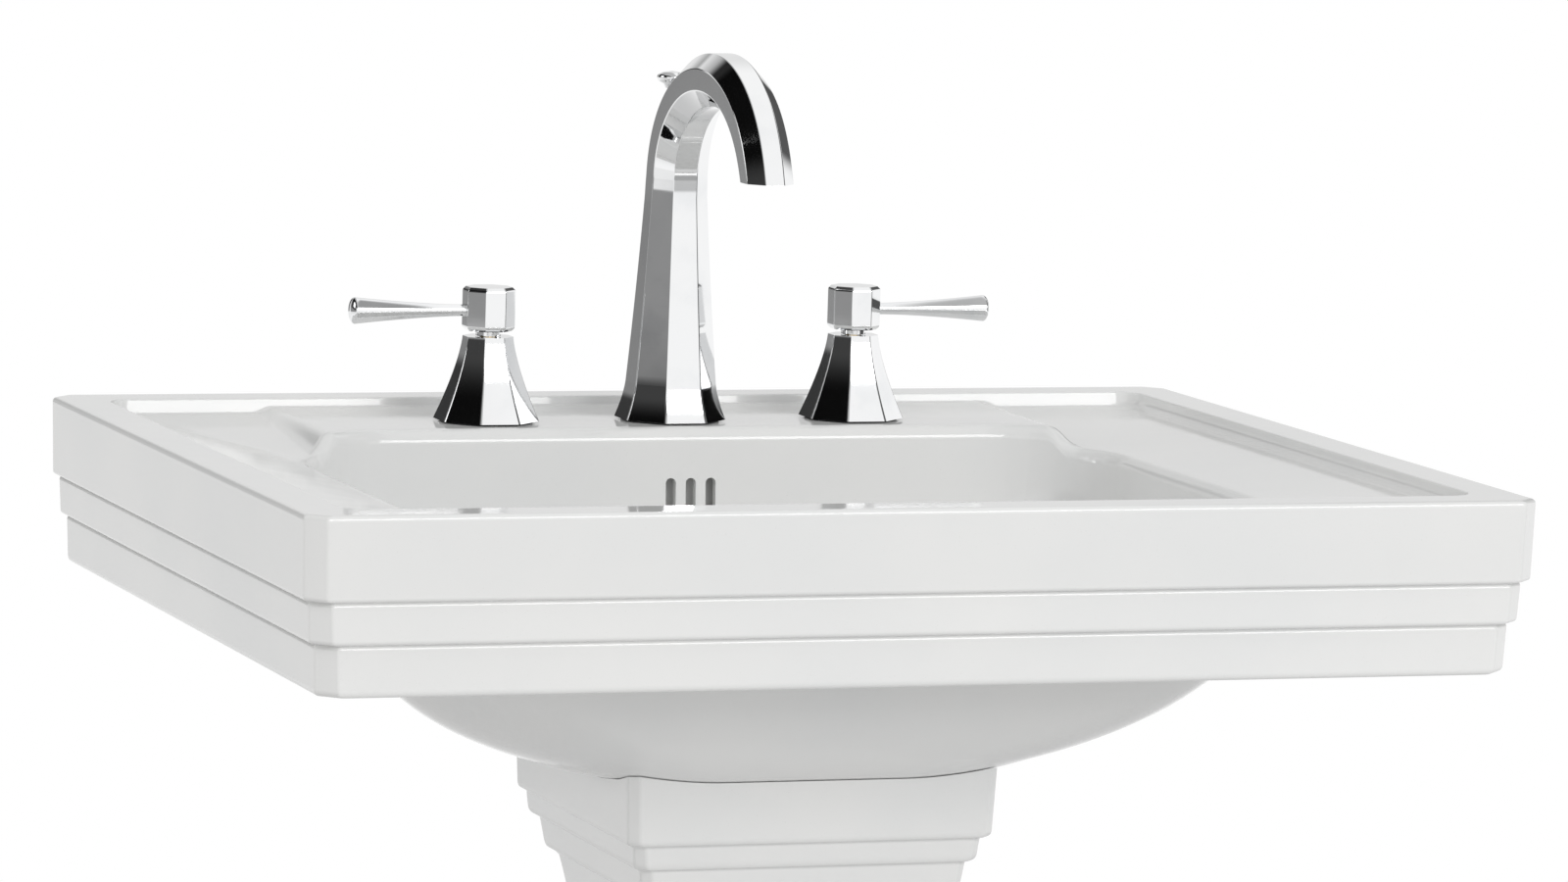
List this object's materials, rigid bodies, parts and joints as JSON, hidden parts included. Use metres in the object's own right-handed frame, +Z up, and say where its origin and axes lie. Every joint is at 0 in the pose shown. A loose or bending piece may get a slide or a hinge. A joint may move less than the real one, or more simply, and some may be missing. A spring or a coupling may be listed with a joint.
{
  "type": "pedestal washbasin",
  "caption": "Rectangular china washbasin with stepped fascia on a stepped pedestal, arched spout, two lever handles and pop-up waste.",
  "frame": {"origin": "on the floor, under the centre of the basin's rim outline", "axes": "+Z up, +Y towards the wall behind the basin, -Y to the user, +X to the user's right"},
  "size_m": [0.63, 0.51, 1.0735],
  "materials": {
    "china": "white gloss glaze",
    "chrome": "polished chrome plating",
    "brass": "turned, unplated",
    "steel": "plain stainless",
    "copper": "bright drawn copper tube",
    "rubber": "black moulded rubber",
    "dark_plastic": "moulded",
    "white_plastic": "moulded"
  },
  "bodies": {
    "root": {"basin": "china", "pedestal": "china", "spout_body": "chrome", "spout_aerator": "dark_plastic", "spout_gasket": "rubber", "spout_shank": "brass", "spout_washer": "steel", "spout_nut": "brass", "spout_tee": "brass", "left_bell": "chrome", "right_bell": "chrome", "bell_gaskets": "rubber", "left_valve_body": "brass", "right_valve_body": "brass", "left_bonnet_nut": "brass", "right_bonnet_nut": "brass", "valve_washers": "steel", "valve_nuts": "brass", "left_connecting_tube": "copper", "right_connecting_tube": "copper", "coupling_nuts": "brass", "pivot_seat": "white_plastic", "pivot_nut": "chrome", "drain_flange": "chrome", "flange_gasket": "rubber", "drain_body": "chrome", "drain_gasket": "rubber", "drain_locknut": "brass", "tailpiece": "chrome"},
    "left_handle": {"left_valve_stem": "brass", "left_handle_hub": "chrome", "left_lever": "chrome", "left_set_screw": "steel"},
    "right_handle": {"right_valve_stem": "brass", "right_handle_hub": "chrome", "right_lever": "chrome", "right_set_screw": "steel"},
    "lift": {"lift_rod": "chrome", "lift_knob": "chrome", "clevis_strap": "steel", "clevis_screw": "brass", "spring_clip": "steel"},
    "pivot": {"pivot_rod": "steel"},
    "stopper": {"stopper": "chrome", "stopper_seal": "rubber"}
  },
  "joints": [
    {"name": "left_handle_turn", "type": "hinge", "parent": "root", "child": "left_handle", "pos_m": [-0.1016, 0.164, 0.93], "axis": [0, 0, 1], "range_deg": [0, 90]},
    {"name": "right_handle_turn", "type": "hinge", "parent": "root", "child": "right_handle", "pos_m": [0.1016, 0.164, 0.93], "axis": [0, 0, 1], "range_deg": [-90, 0]},
    {"name": "lift_slide", "type": "slide", "parent": "root", "child": "lift", "axis": [0, 0, 1], "range_m": [0, 0.035]},
    {"name": "pivot_tilt", "type": "hinge", "parent": "root", "child": "pivot", "pos_m": [0, 0.018, 0.664], "axis": [1, 0, 0], "range_deg": [0, 12.8]},
    {"name": "stopper_slide", "type": "slide", "parent": "root", "child": "stopper", "axis": [0, 0, 1], "range_m": [-0.0067, 0]}
  ],
  "couplings": [
    {"joint": "pivot_tilt", "follows": "lift_slide", "rad_per_m": 6.329},
    {"joint": "stopper_slide", "follows": "lift_slide", "ratio": -0.18987}
  ]
}
